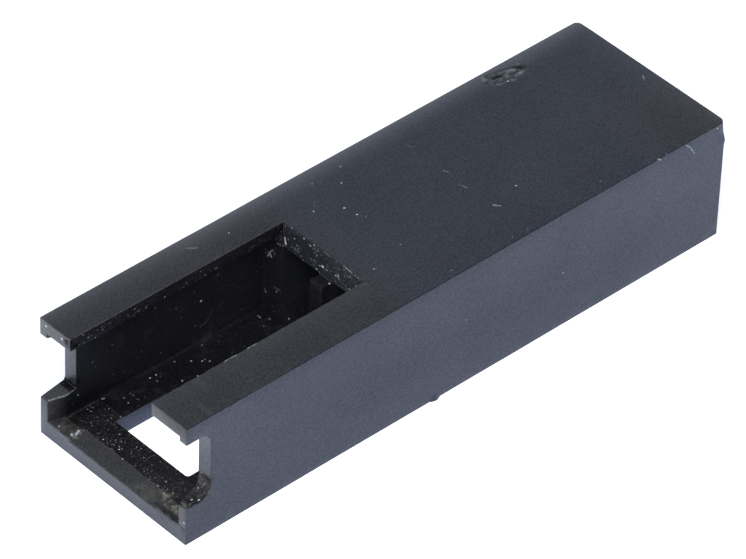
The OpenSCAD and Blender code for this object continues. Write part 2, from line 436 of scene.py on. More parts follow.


# Scratches, lint, single specks and painted glints in mm: half the width of each, how bright it is and its
# points
marksAndGlints = {
    "satinOutside": [
        lintAndGlint(0.032, 0.45, (3.10, 0.67, 5.28), (3.20, 0.49, 5.28)),
        lintAndGlint(0.03, 0.3, (3.00, -0.24, 5.28), (3.11, -0.62, 5.28)),
        lintAndGlint(0.031, 0.6, (3.15, -1.87, 5.28), (3.31, -2.08, 5.28)),
        lintAndGlint(0.04, 0.35, (3.17, -3.61, 5.28)),
        lintAndGlint(0.04, 0.3, (2.47, -3.59, 5.28)),
        lintAndGlint(0.04, 0.35, (-0.36, -3.5, 5.28)),
        lintAndGlint(0.03, 0.12, (3.08, 2.54, 5.28), (3.17, 2.27, 5.28)),
        lintAndGlint(0.03, 0.1, (6.08, 2.07, 5.28), (6.12, 1.81, 5.28)),
        lintAndGlint(0.032, 0.55, (12.22, -0.08, 5.28), (12.10, -0.28, 5.28)),
        lintAndGlint(0.022, 0.08, (-1.21, 2.62, 5.28), (-1.71, 2.04, 5.28)),
        lintAndGlint(0.03, 0.4, (-6.51, 3.29, 5.28), (-6.24, 3.06, 5.28)),
        lintAndGlint(0.028, 0.6, (10.71, -3.8, 5.18), (10.92, -3.81, 4.99)),
        lintAndGlint(0.028, 0.5, (10.92, -3.81, 4.99), (11.18, -3.81, 4.58)),
        # bright dots on the right long edge: painted highlights
        lintAndGlint(0.04, 0.6, (9.76, -3.79, 5.26)),
        lintAndGlint(0.045, 0.7, (12.3, -3.81, 5.12)),
        lintAndGlint(0.045, 1.0, (9.34, -3.78, 5.25), (9.44, -3.8, 5.2)),
        lintAndGlint(0.035, 0.7, (-9.5, -2.02, 5.27), (-8.93, -2.02, 5.27)),
        lintAndGlint(0.035, 0.65, (-8.43, -2.02, 5.27), (-8.04, -2.02, 5.27)),
        # a painted glint low on the mouth face
        lintAndGlint(0.055, 0.9, (-12.7, -3.73, 1.01)),
        lintAndGlint(0.07, 1.0, (-12.7, 3.47, 5.07)),
        lintAndGlint(0.07, 1.0, (-12.7, 2.63, 5.04)),
        lintAndGlint(0.045, 1.0, (4.49, -1.62, 5.28)),
        lintAndGlint(0.052, 1.0, (-0.92, 1.37, 5.28)),
        lintAndGlint(0.048, 1.0, (-0.82, 0.82, 5.28)),
        lintAndGlint(0.04, 0.4, (-0.66, 0.53, 5.28)),
        lintAndGlint(0.045, 0.7, (-0.07, 2.45, 5.28)),
        lintAndGlint(0.045, 0.7, (0.51, 3.15, 5.28)),
        lintAndGlint(0.04, 0.5, (-0.88, 3.09, 5.28)),
        lintAndGlint(0.045, 0.8, (-1.85, 1.93, 5.28)),
        lintAndGlint(0.045, 0.6, (-2.35, -1.73, 5.28)),
        lintAndGlint(0.04, 0.5, (-0.77, -1.36, 5.28)),
        lintAndGlint(0.04, 0.5, (6.93, -3.36, 5.28)),
        lintAndGlint(0.045, 0.7, (-4.87, 2.95, 5.28)),
        lintAndGlint(0.045, 0.6, (4.86, -3.81, 2.48)),
        lintAndGlint(0.04, 0.4, (0.19, -3.81, 2.91)),
    ],
    "darkCavity": [
        lintAndGlint(0.028, 0.07, (-5.41, 3.17, 1.98), (-5.5, 3.17, 1.7), (-5.68, 3.17, 1.53)),
        lintAndGlint(0.03, 0.1, (-5.68, 3.17, 1.53), (-5.96, 3.17, 1.45)),
        lintAndGlint(0.055, 1.0, (-5.93, 3.17, 2.63)),
        lintAndGlint(0.02, 0.025, (-8.96, 3.17, 1.94), (-8.77, 3.17, 1.52)),
        lintAndGlint(0.05, 0.8, (-3.0, 3.01, 3.18), (-3.0, 2.94, 3.26)),
        lintAndGlint(0.05, 0.9, (-3.0, 2.96, 3.37), (-3.0, 2.85, 3.36), (-3.0, 2.8, 3.29)),
        lintAndGlint(0.04, 0.6, (-3.0, 2.86, 3.45), (-3.0, 2.74, 3.64)),
        lintAndGlint(0.035, 0.35, (-3.0, 2.74, 3.64), (-3.0, 2.63, 3.59), (-3.0, 2.64, 3.5)),
        lintAndGlint(0.06, 0.1, (-3.0, 2.6, 2.0), (-3.0, 2.3, 2.05)),
        lintAndGlint(0.045, 0.3, (-3.0, 3.1, 1.62), (-3.0, 3.02, 1.52)),
        lintAndGlint(0.055, 0.8, (-3.0, 1.81, 1.07)),
        lintAndGlint(0.045, 0.2, (-3.0, 3.09, 3.27)),
        lintAndGlint(0.045, 0.15, (-3.0, 3.09, 3.43)),
        lintAndGlint(0.045, 0.2, (-3.0, 2.6, 3.8)),
        lintAndGlint(0.04, 0.3, (-3.0, 2.5, 4.08), (-3.0, 2.34, 4.1)),
        lintAndGlint(0.032, 0.2, (-11.62, 3.16, 1.84), (-12.1, 3.17, 1.74)),
        lintAndGlint(0.035, 0.18, (-12.1, 3.19, 1.73), (-12.4, 3.33, 1.7), (-12.66, 3.43, 1.67)),
        lintAndGlint(0.03, 0.12, (-11.64, 3.78, 1.86), (-11.64, 3.2, 1.86)),
        lintAndGlint(0.04, 0.5, (-11.54, 3.17, 1.48)),
        lintAndGlint(0.045, 0.55, (-12.2, 3.28, 0.86), (-12.12, 3.22, 0.84)),
    ],
    "cavityFloor": [
        lintAndGlint(0.055, 1.0, (-11.43, 3.08, 0.82)),
        lintAndGlint(0.04, 1.0, (-10.55, 3.06, 0.82), (-10.47, 3.02, 0.82)),
        lintAndGlint(0.05, 0.9, (-3.5, 2.76, 0.8)),
        lintAndGlint(0.055, 0.7, (-3.31, 2.48, 0.8)),
        lintAndGlint(0.05, 1.0, (-8.56, 2.82, 0.8)),
        lintAndGlint(0.05, 1.0, (-8.3, 2.81, 0.8)),
        lintAndGlint(0.05, 0.9, (-6.89, 2.57, 0.8)),
        lintAndGlint(0.05, 0.9, (-6.6, 2.32, 0.8)),
        lintAndGlint(0.045, 0.8, (-6.39, 2.14, 0.8)),
        lintAndGlint(0.05, 0.9, (-7.23, 1.82, 0.8)),
    ],
    "slotBand": [
        lintAndGlint(0.055, 1.0, (-3.0, 2.12, 4.57), (-3.0, 2.08, 4.34)),
        lintAndGlint(0.075, 1.0, (-3.0, 0.16, 4.52)),
        lintAndGlint(0.055, 0.6, (-3.0, -0.63, 4.66), (-3.0, -0.63, 4.56)),
        lintAndGlint(0.055, 0.5, (-3.0, 2.21, 4.14)),
        lintAndGlint(0.055, 0.35, (-3.0, 1.48, 4.63)),
        lintAndGlint(0.05, 0.2, (-3.0, 1.77, 4.37)),
        lintAndGlint(0.055, 0.2, (-3.0, 1.59, 4.39)),
        lintAndGlint(0.055, 0.2, (-3.0, 1.45, 4.48)),
        # along the slot end's top edge: painted glints
        lintAndGlint(0.055, 0.5, (-3.0, 1.15, 5.16)),
        lintAndGlint(0.05, 0.5, (-3.0, 0.62, 5.2)),
        lintAndGlint(0.03, 0.2, (-3.0, 0.1, 5.22), (-3.0, -0.2, 5.22)),
        lintAndGlint(0.035, 0.45, (-3.0, -0.9, 5.22), (-3.0, -1.3, 5.2)),
        lintAndGlint(0.035, 0.3, (-3.0, -1.45, 5.18), (-3.0, -1.75, 5.16)),
    ],
    "tornScar": [
        # painted glints on the scar
        lintAndGlint(0.07, 1.0, (7.64, 2.95, 5.28)),
        lintAndGlint(0.07, 1.0, (8.3, 2.84, 5.28)),
    ],
    "scuffedAndLitRamp": [
        lintAndGlint(0.032, 0.4, (-11.7, 3.19, 1.83), (-12.1, 3.2, 1.76)),
        lintAndGlint(0.035, 0.35, (-12.1, 3.21, 1.76), (-12.4, 3.34, 1.71), (-12.66, 3.44, 1.67)),
        lintAndGlint(0.045, 0.9, (-12.55, 2.99, 0.76)),
        lintAndGlint(0.045, 0.7, (-12.63, 3.41, 0.76)),
        lintAndGlint(0.07, 1.0, (-12.49, 2.39, 0.75)),
        lintAndGlint(0.065, 1.0, (-12.38, 2.29, 0.77), (-12.2, 2.35, 0.79)),
    ],
    "sparklyLip": [
        lintAndGlint(0.06, 1.0, (-12.19, -3.52, 1.64)),
        lintAndGlint(0.06, 1.0, (-12.02, -3.7, 1.64)),
        lintAndGlint(0.06, 0.9, (-11.68, -3.29, 1.97)),
        lintAndGlint(0.06, 0.8, (-11.68, -3.78, 1.9)),
    ],
}
markAndGlintColour = (0.46, 0.49, 0.53)
hollowMarksLit = {  # paler in the dark hollows: painted light, so that they still show in the shade
    "slotBand": (0.95, 0.96, 1.0),
    "darkCavity": (0.78, 0.86, 0.82),
    "sparklyLip": (0.8, 0.8, 0.78),
}
markShape = {
    "core": 0.3,  # share of the width that is full
    "gapNoise": (9.0, 2.0),
    "gaps": (0.36, 0.56, 0.25, 1.0),  # scratches are broken up by noise
}


def makeSpecks(tree, place, dust, specks):
    perMm, size, share = specks
    cells = put(tree, "TexVoronoi", {"Vector": place, "Scale": perMm})
    radius = size * perMm
    dot = fade(tree, cells.outputs["Distance"], radius, radius * dusting["core"])
    lot = put(tree, "SeparateColor", {"Color": cells.outputs["Color"]}).outputs
    crowd = fade(tree, cloudy(tree, place, *dusting["crowdNoise"]), *dusting["crowd"])
    kept = calc(tree, "LESS_THAN", lot["Red"], multiply(tree, dust, crowd, share))
    strength = calc(tree, "POWER", lot["Green"], dusting["faintPower"])
    strength = calc(tree, "MAXIMUM", strength, dusting["faintest"])
    return multiply(tree, dot, kept, strength)


def farFrom(tree, place, start, end):
    if start == end:
        return vectorCalc(tree, "DISTANCE", {0: place, 1: start}, "Value")
    along = Vector(end) - Vector(start)
    offset = vectorCalc(tree, "SUBTRACT", {0: place, 1: start})
    share = vectorCalc(tree, "DOT_PRODUCT", {0: offset, 1: along / along.length_squared}, "Value")
    share = calc(tree, "ADD", share, clamp=True)
    foot = vectorCalc(tree, "SCALE", {0: along, "Scale": share})
    return vectorCalc(tree, "DISTANCE", {0: offset, 1: foot}, "Value")


def makeMarksAndGlints(tree, place, drawn):
    shown = 0.0
    gaps = fade(tree, cloudy(tree, place, *markShape["gapNoise"]), *markShape["gaps"])
    for mark in drawn:
        path = mark["path"]
        for start, end in zip(path, path[1:] or path):
            away = farFrom(tree, place, start, end)
            core = mark["width"] * markShape["core"]
            stroke = fade(tree, away, mark["width"], core, 0, mark["tone"])
            if start != end:
                stroke = multiply(tree, stroke, gaps)
            shown = calc(tree, "MAXIMUM", stroke, shown)
    return shown


def ramp(tree, value, low, high, power):
    sockets = {"Value": value, "From Min": low, "From Max": high}
    return calc(tree, "POWER", put(tree, "MapRange", sockets, clamp=True).outputs["Result"], power)


def onTop(tree, z):
    return fade(tree, z, cad["ceiling"], cad["top"] - tone["topEdge"])


# painted sheen: the top grows paler towards its left rim and its rear edge
def paintedRimSheen(tree, place):
    x, y, z = split(tree, place)
    left, rear = tone["leftRimSheen"], tone["rearRimSheen"]
    rim = multiply(tree, ramp(tree, y, *left["y"], left["power"]), left["share"])
    rim = multiply(tree, rim, fade(tree, x, *left["x"], left["mouth"], 1.0))
    back = multiply(tree, ramp(tree, x, *rear["x"], rear["power"]), rear["share"])
    return multiply(tree, calc(tree, "MAXIMUM", rim, back), onTop(tree, z))


def neutralPart(tree, place):
    x, y, z = split(tree, place)
    rear = tone["neutralRear"]
    corner = multiply(tree, fade(tree, x, *rear["x"]), fade(tree, y, *rear["y"]))
    part = calc(tree, "MAXIMUM", fade(tree, x, *tone["neutralMouth"]), corner)
    inner = fade(tree, calc(tree, "ABSOLUTE", y), *(cad["side"] - inset for inset in tone["topInset"]))
    return multiply(tree, part, inner, onTop(tree, z))


# painted sheen and shade in the gloss: a darker band along the side, more gloss at its rear, near the mouth
# and on the right notch's face, less towards the top's right edge
def sheen(tree, place):
    x, y, z = split(tree, place)
    band = multiply(tree, fade(tree, z, *tone["bandLow"]), fade(tree, z, *tone["bandHigh"]))
    band = multiply(tree, band, fade(tree, x, *tone["bandAlong"]), fade(tree, x, *tone["bandEnd"]))
    gain = multiply(tree, band, -tone["bandLoss"])
    for part in (tone["rearSheen"], tone["mouthSheen"]):
        rise = multiply(tree, fade(tree, x, *part["x"]), fade(tree, z, *part["z"]), part["gain"])
        gain = calc(tree, "ADD", gain, rise)
    outer = calc(tree, "GREATER_THAN", calc(tree, "ABSOLUTE", y), cad["side"] - tone["wallDepth"])
    fall = tone["rightFall"]
    fall = multiply(tree, fade(tree, y, *fall["y"], 0, -fall["loss"]), onTop(tree, z))
    notch = tone["notchSheen"]
    rise = multiply(tree, fade(tree, x, *notch["x"][:2]), fade(tree, x, *notch["x"][2:]))
    rise = multiply(tree, rise, fade(tree, y, *notch["y"], 0, notch["gain"]))
    gain = fade(tree, outer, 0, 1, calc(tree, "ADD", fall, rise), gain)
    return calc(tree, "ADD", 1.0, gain)


def smears(tree, place):
    streaks = put(tree, "TexNoise", {"Vector": place, **tone["smearNoise"]}).outputs["Fac"]
    return fade(tree, streaks, *tone["smearRange"], 0, tone["smearShare"])


def jolted(tree, place, jolt, reach):
    return vectorCalc(tree, "MULTIPLY_ADD", {0: jolt, 1: (reach, reach, reach), 2: place})


def makeFinish(name, look):
    material = bpy.data.materials.new(name)
    material.use_nodes = True
    tree = material.node_tree
    shader = tree.nodes["Principled BSDF"]
    shader.inputs["Specular Tint"].default_value = (*look.get("glossTint", plain), 1)
    metres = put(tree, "TexCoord").outputs["Object"]
    place = put(tree, "Mapping", {"Vector": metres, "Scale": (1 / mm, 1 / mm, 1 / mm)}).outputs["Vector"]

    cloud = cloudy(tree, place, *texture["cloud"])
    grain = cloudy(tree, place, *texture["grain"])
    rubbed = cloudy(tree, place, *texture["rub"])
    mottle = multiply(tree, cloud, 1 - texture["grainShare"])
    mottle = calc(tree, "ADD", mottle, multiply(tree, grain, texture["grainShare"]))
    colour = blendColour(tree, fade(tree, mottle, *texture["mottle"]), look["dark"], look["light"])

    if name == "satinOutside":
        neutral = neutralPart(tree, place)
        warm = blendColour(tree, neutral, plain, tone["neutralTint"])
        colour = vectorCalc(tree, "MULTIPLY", {0: colour, 1: warm})
        tint = blendColour(tree, neutral, look["glossTint"], tone["neutralGloss"])
        tree.links.new(tint, shader.inputs["Specular Tint"])
        # painted sheen along the top's left rim and rear edge
        colour = blendColour(tree, paintedRimSheen(tree, place), colour, tone["rimSheenColour"])
    shade = 1.0
    if name in tone["mouthShare"]:
        colour = blendColour(tree, smears(tree, place), colour, tone["smearColour"])
        along = split(tree, place)["X"]
        shares = tone["cavityShade"]["far"], tone["mouthShare"][name]
        shade = fade(tree, along, *tone["cavityShade"]["x"], *shares)
        flared = fade(tree, along, *tone["cavityShade"]["flare"])
        shade = fade(tree, flared, 0, 1, shade, tone["cavityShade"]["flareShare"])
        colour = vectorCalc(tree, "SCALE", {0: colour, "Scale": shade})

    # wear and painted sheen: paler on worn edges, chips and rubs, on the scar's ridges and on the painted
    # sheen patches
    edge = put(tree, "Attribute", attribute_name="wearAndSheenMask").outputs["Fac"]
    wearAndSheen = multiply(tree, edge, fade(tree, rubbed, *texture["rubbed"]), look["wearAndSheen"])
    colour = blendColour(tree, wearAndSheen, colour, look["wearAndSheenColour"])

    jolt = cloudy(tree, place, *texture["jolt"], "Color")
    jolt = vectorCalc(tree, "SUBTRACT", {0: jolt, 1: texture["joltMiddle"]})
    strewn = jolted(tree, place, jolt, texture["speckJolt"])
    bent = jolted(tree, place, jolt, texture["markJolt"])
    dust = put(tree, "Attribute", attribute_name="dust").outputs["Fac"]
    fine = makeSpecks(tree, strewn, dust, look["fineSpecks"])
    coarse = makeSpecks(tree, strewn, dust, look["coarseSpecks"])
    colour = blendColour(tree, fine, colour, look["speckColours"][0])
    colour = blendColour(tree, coarse, colour, look["speckColours"][1])
    # scratches, lint and specks, with painted glints and highlights among them
    drawn = makeMarksAndGlints(tree, bent, marksAndGlints.get(name, []))
    colour = blendColour(tree, drawn, colour, hollowMarksLit.get(name, markAndGlintColour))
    # grime and painted shade: darker colour and less gloss in pits, corners and hollows
    grimeAndShade = put(tree, "Attribute", attribute_name="grimeAndShade").outputs["Fac"]
    colour = blendColour(tree, grimeAndShade, colour, texture["grimeAndShadeColour"])
    tree.links.new(colour, shader.inputs["Base Color"])

    swing = look["gloss"] * texture["glossSwing"]
    gloss = fade(tree, mottle, *texture["mottle"], look["gloss"] - swing, look["gloss"] + swing)
    glossKept = calc(tree, "MAXIMUM", calc(tree, "SUBTRACT", shade, grimeAndShade), 0.0)
    gloss = multiply(tree, gloss, glossKept)
    if name == "satinOutside":
        gloss = multiply(tree, gloss, sheen(tree, place))
    tree.links.new(gloss, shader.inputs["Specular IOR Level"])
    rough = fade(tree, cloud, *texture["clouds"], *look["roughness"])
    rough = calc(tree, "ADD", rough, multiply(tree, wearAndSheen, texture["wearAndSheenRoughness"]))
    tree.links.new(rough, shader.inputs["Roughness"])

    relief = calc(tree, "ADD", grain, multiply(tree, fine, texture["speckHeight"]))
    bump = {"Strength": texture["bumpStrength"], "Distance": texture["bumpHeight"] * mm, "Height": relief}
    tree.links.new(put(tree, "Bump", bump).outputs["Normal"], shader.inputs["Normal"])
    return material


materials = {name: makeFinish(name, look) for name, look in finishes.items()}
print("finishes made:", ", ".join(materials))

# Tolerances: the first three in metres, then mm, then cosines of how far a face may tilt
near = {
    "merge": 2e-7,
    "cut": 1e-7,
    "box": 1e-6,
    "plane": 0.01,
    "touch": 0.001,
    "reach": 0.002,
    "facing": 0.99,
    "flat": 0.999,
}

# Housing: a copy of the CAD node with broken edges, gently waved walls and a gate scar
housing = {
    "gridStep": 0.32,  # mm between the cuts that let the walls wave
    "gridClear": 0.12,  # room that the cuts leave to the solid's own edges
    "gridSearch": 0.03,  # step to the next place that has room
    "flatAngle": 0.3,  # degrees, flatter edges of the CAD mesh are dissolved
    "creaseAngle": 12,  # degrees, flatter edges belong to round corners
    "sharpAngle": 40,
    "outerBreak": 0.045,  # mm, the long outer edges
    "innerBreak": 0.035,
    "hollowBreak": 0.045,  # inside corners
    "breakSegments": 3,
    "breakWear": 0.3,  # how pale the broken edges are
    "longEdgeShade": 0.6,  # how dark the right long edge is: painted shade along it
    "cornerShade": 0.4,  # the same for the cavity's far corners: painted shade on their broken edges
    "longEdgeReach": 0.06,  # mm
    "cornerReach": 0.1,
    "flareFoot": {"x": (-12.11, -12.0), "y": 2.9, "z": 1.0},  # stays sharp: outside y, below z
    "rimDust": 0.85,  # share of the dust that the keyway's upper rims lose
    "rimReach": 0.1,
    "crownCuts": (2.9, 3.1, 3.3, 3.5, 3.65),
    "crownStart": 2.7,  # from the middle, where the top starts to fall away
    "crownDrop": {1: 0.015, -1: 0.01},  # at the left and the right edge
    "waveHeight": 0.004,
    "waveLength": 2.6,
    "ledgeDrop": 0.3,  # the rear corners taper over this height below the ceiling
    "ledgeFill": 0.6,  # how far the rear corners have filled out at the ceiling
    "sillRise": 0.18,  # slope of the left notch's sill
    "sillInner": 0.06,  # mm of the cavity wall that rises with it
    "sillBehind": 0.02,
    "sillFade": (0.06, 0.4),  # height over which the slope runs out
    "normalWeight": 50,
}

# How finishes are told apart: slack in mm round the CAD's planes, and how far faces tilt
zone = {
    "fine": 0.02,
    "near": 0.03,
    "wide": 0.05,
    "foot": 0.2,
    "passageFoot": 1.0,
    "ahead": 0.6,
    "floorTilt": 0.5,
    "sillTilt": 0.15,
    "sillFlat": 0.95,
}

# Keyway in mm: its sideways drift and its ragged rims, each a box and the axis along it
keyway = {
    "drift": 0.1,
    "driftFade": (0.15, 0.75),  # from each rim, sideways
    "driftBehind": 0.2,
    "driftBelow": 0.1,
    "burrStep": 0.1,
    "burrHeight": 0.022,
    "burrNoise": ((3.1, 0.7), (7.3, 0.5)),  # scale per mm and share
    "burrSeed": 7,
    "rims": {
        "left": ((-12.75, 1.98, 5.17), (-2.95, 2.16, 5.35), 0),
        "right": ((-12.75, -2.16, 5.17), (-2.95, -1.98, 5.35), 0),
        "end": ((-3.06, -2.1, 5.17), (-2.88, 2.1, 5.35), 1),
    },
}

# Nose of the partition between the passages, forward of the end wall, in mm
nose = {"length": 0.47, "half": 0.32}

# Fine seam across the right column of the mouth, in mm
seam = {"z": 0.75, "y": (-3.79, -3.42), "halfWidth": 0.03, "halfBottom": 0.015, "depth": 0.025, "room": 0.05}

# Torn gate on the top, near the left rear edge
gateScar = {
    "middle": (8.42, 3.2),
    "reach": (0.98, 0.46),
    "margin": 1.3,
    "room": 0.1,  # mm to the side wall, and above and below the top
    "turn": -9,  # degrees
    "power": 3,  # between an ellipse (2) and a box
    "ragged": ((2.3, 0.28), (5.1, 0.14)),  # noise on the outline, scale per mm and share
    "rim": (0.82, 1.02),
    "limit": (1.05, 1.15),
    "finishFrom": 0.5,
    "depth": 0.1,
    "rough": ((5.4, 0.5), (14, 0.35)),
    "sink": 0.35,
    "highest": 0.25,
    # the high points pale and the low ones darken: painted highlights and painted shade on the torn relief
    "pale": (0.0, 0.6),
    "pitDarkening": (0.3, 0.9),
    "grimeAndShade": 0.75,
    "cell": 0.045,
    "lumps": [  # pits (height below zero) and ridges, each along a line
        {"line": ((9.2, 3.4), (9.34, 3.12)), "reach": 0.17, "height": -1.1},
        {"line": ((8.89, 3.43), (9.05, 3.33)), "reach": 0.1, "height": -0.9},
        {"line": ((8.63, 3.25), (8.91, 3.06)), "reach": 0.1, "height": -1.0},
        {"line": ((8.1, 3.42), (8.38, 3.32)), "reach": 0.14, "height": -0.8},
        {"line": ((8.57, 3.54), (8.61, 3.54)), "reach": 0.1, "height": -0.6},
        {"line": ((7.75, 3.1), (8.06, 3.13)), "reach": 0.08, "height": -0.5},
        {"line": ((8.81, 3.29), (8.98, 3.19)), "reach": 0.08, "height": 0.8},
        {"line": ((8.87, 2.96), (9.09, 2.88)), "reach": 0.1, "height": 0.8},
        {"line": ((7.68, 3.5), (7.75, 3.25)), "reach": 0.22, "height": 0.5},
        {"line": ((8.47, 3.18), (8.51, 3.16)), "reach": 0.12, "height": 0.7},
        {"line": ((7.5, 3.06), (7.78, 2.9)), "reach": 0.12, "height": 0.7},
        {"line": ((7.93, 2.87), (8.45, 2.8)), "reach": 0.1, "height": 0.6},
        {"line": ((8.93, 3.56), (9.28, 3.5)), "reach": 0.1, "height": 0.7},
    ],
}

# Chips and dents in mm: middle, reach, depth (below zero stands proud), how pale they are and how dark their
# low points grow, from grime and painted shade
nicks = {
    "leftRailCorner": {"at": (-12.66, 2.2, 5.06), "reach": 0.3, "depth": 0.1, "pale": 0.4, "grimeAndShade": 0.9},
    "rampLeftRiser": {"at": (-12.42, 2.28, 0.76), "reach": 0.22, "depth": 0.05, "pale": 1.0, "grimeAndShade": 0.0},
    "rampRightEnd": {"at": (-12.1, -2.4, 0.78), "reach": 0.45, "depth": 0.04, "pale": 0.8, "grimeAndShade": 0.0},
    "rampRightDent": {"at": (-12.62, -2.75, 0.70), "reach": 0.40, "depth": 0.05, "pale": 0.2, "grimeAndShade": 0.4},
    "rightSill": {"at": (-12.2, -3.5, 1.66), "reach": 0.46, "depth": 0.06, "pale": 0.5, "grimeAndShade": 0.5},
    "rightNotch": {"at": (-11.75, -3.5, 1.85), "reach": 0.36, "depth": 0.04, "pale": 0.4, "grimeAndShade": 0.5},
    "keywayCorner": {"at": (-3.0, 2.2, 5.26), "reach": 0.12, "depth": 0.03, "pale": 1.0, "grimeAndShade": 0.0},
    "rearNub": {"at": (12.7, -3.81, 4.46), "reach": 0.3, "depth": -0.04, "pale": 0.2, "grimeAndShade": 0.0},
    "bottomFlash": {"at": (-1.16, -3.81, 0.03), "reach": 0.24, "depth": -0.12, "pale": 0.0, "grimeAndShade": 0.0},
}
nickShape = {
    "cells": 6,  # along the reach of each
    "margin": 1.4,
    "level": 0.6,
    "rough": ((7, 0.9), (15, 0.4)),  # noise, scale per mm and share
    "proudShare": 0.3,  # of that noise on what stands proud
    "pale": (0.5, 1.1),
    # how the low points darken: grime and painted shade
    "pitDarkening": (-0.9, 0.0),
}

# Rubbed and dirty patches, painted shade and painted sheen in mm, each along a line: its ends, its reach,
# and how pale or dark it is
stains = {
    # painted shade in the left notch's round corner
    "leftArc": {"line": ((-11.62, 3.72, 1.72), (-11.62, 3.2, 2.1)), "reach": 0.24, "grimeAndShade": 0.85},
    "rightArc": {"line": ((-11.6, -3.2, 2.34), (-11.6, -3.8, 2.34)), "reach": 0.2, "grimeAndShade": 0.55},
    "rampRub": {"line": ((-12.06, -1.9, 0.79), (-12.14, -2.5, 0.79)), "reach": 0.2, "pale": 0.8},
    "stripRub": {"line": ((-12.14, -2.5, 0.79), (-12.2, -3.2, 0.79)), "reach": 0.3, "pale": 1.0},
    "sillRub": {"line": ((-12.6, -3.36, 1.66), (-12.66, -3.6, 1.66)), "reach": 0.2, "pale": 1.0},
    "rampSheen": {"line": ((-12.5, -1.2, 0.72), (-12.5, -2.1, 0.72)), "reach": 0.4, "pale": 0.15},
    "lipEnd": {"line": ((-11.9, 3.05, 0.83), (-10.9, 3.0, 0.83)), "reach": 0.75, "grimeAndShade": 0.65},
    # painted shade on the end wall and along the fillet that catches the light
    "endStrip": {"line": ((-3.0, 2.8, 4.0), (-3.0, 2.8, 0.9)), "reach": 0.7, "grimeAndShade": 0.35},
    "filletNear": {"line": ((-10.5, 3.05, 0.85), (-9.3, 3.05, 0.85)), "reach": 0.4, "grimeAndShade": 0.45},
    "rampDirt": {"line": ((-12.58, -2.2, 0.7), (-12.62, -3.2, 0.72)), "reach": 0.2, "grimeAndShade": 0.55},
    "railFace": {"line": ((-12.7, 2.42, 5.05), (-12.68, 2.2, 4.98)), "reach": 0.17, "grimeAndShade": 0.9},
    "railSlot": {"line": ((-12.62, 2.2, 4.95), (-12.35, 2.2, 4.85)), "reach": 0.16, "grimeAndShade": 0.8},
    "leadStrip": {"line": ((-12.4, 3.0, 0.77), (-12.4, 2.5, 0.77)), "reach": 0.5, "pale": 0.2},
    # a painted reflection low on the side near the rear
    "rearFootReflection": {"line": ((12.2, -3.81, 0.1), (12.65, -3.81, 0.4)), "reach": 0.35, "pale": 0.7},
    # painted shade low on the slot's end band and on the partition's nose
    "slotBandEnd": {"line": ((-3.0, 2.1, 4.7), (-3.0, 0.3, 4.7)), "reach": 0.55, "grimeAndShade": 0.22},
    "noseWeb": {"line": ((-3.47, 0.0, 3.8), (-3.47, 0.0, 1.0)), "reach": 0.4, "grimeAndShade": 0.45},
    "noseTop": {"line": ((-3.25, 0.25, 4.12), (-3.25, -0.25, 4.12)), "reach": 0.32, "grimeAndShade": 0.5},
}
stainShape = {
    "cells": 4,  # along the reach of each
    "cell": 0.12,  # mm at least
    "level": 0.85,
    "rough": ((6, 0.6),),
}


def copyNode(name):
    bm = bmesh.new()
    bm.from_mesh(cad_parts[name].data)
    bmesh.ops.remove_doubles(bm, verts=bm.verts, dist=near["merge"])
    flat = math.radians(housing["flatAngle"])
    bmesh.ops.dissolve_limit(bm, angle_limit=flat, verts=bm.verts, edges=bm.edges)
    return bm


def placed(bm):
    for vert in bm.verts:
        yield vert, vert.co / mm


def isAt(value, place):
    return abs(value - place) < near["plane"]


def taperLedges(bm):
    for vert, place in placed(bm):
        corner = isAt(place.x, cad["rear"]) and isAt(abs(place.y), cad["side"])
        if corner and isAt(place.z, cad["ceiling"]):
            ledge = [face for face in vert.link_faces if face.normal.z > near["facing"]]
            vert.co.z -= housing["ledgeDrop"] * mm
            bmesh.ops.triangulate(bm, faces=ledge)
    radius = cad["rearRadius"]
    for vert, place in placed(bm):
        across = math.copysign(cad["side"] - radius, place.y)
        offset = Vector((place.x - cad["rear"] + radius, place.y - across))
        behind = min(offset.x, offset.y * place.y) > -near["touch"]
        rounded = behind and offset.length < radius + near["plane"]
        if rounded and isAt(place.z, cad["ceiling"]):
            square = offset * radius / max(abs(offset.x), abs(offset.y))
            moved = offset.lerp(square, housing["ledgeFill"])
            vert.co.x = (cad["rear"] - radius + moved.x) * mm
            vert.co.y = (across + moved.y) * mm
    bm.normal_update()


def cut(bm, faces, axis, place):
    normal = Vector([float(k == axis) for k in range(3)])
    geom = dict.fromkeys(faces)
    for face in faces:
        geom.update(dict.fromkeys([*face.edges, *face.verts]))
    plane = {"plane_co": normal * place * mm, "plane_no": normal}
    made = bmesh.ops.bisect_plane(bm, geom=list(geom), dist=near["cut"], **plane)
    return [item for item in made["geom"] if isinstance(item, bmesh.types.BMFace)]


def facesAt(bm, axis, side, place):
    flat = [face for face in bm.faces if face.normal[axis] * side > near["facing"]]
    return [face for face in flat if isAt(face.calc_center_median()[axis] / mm, place)]


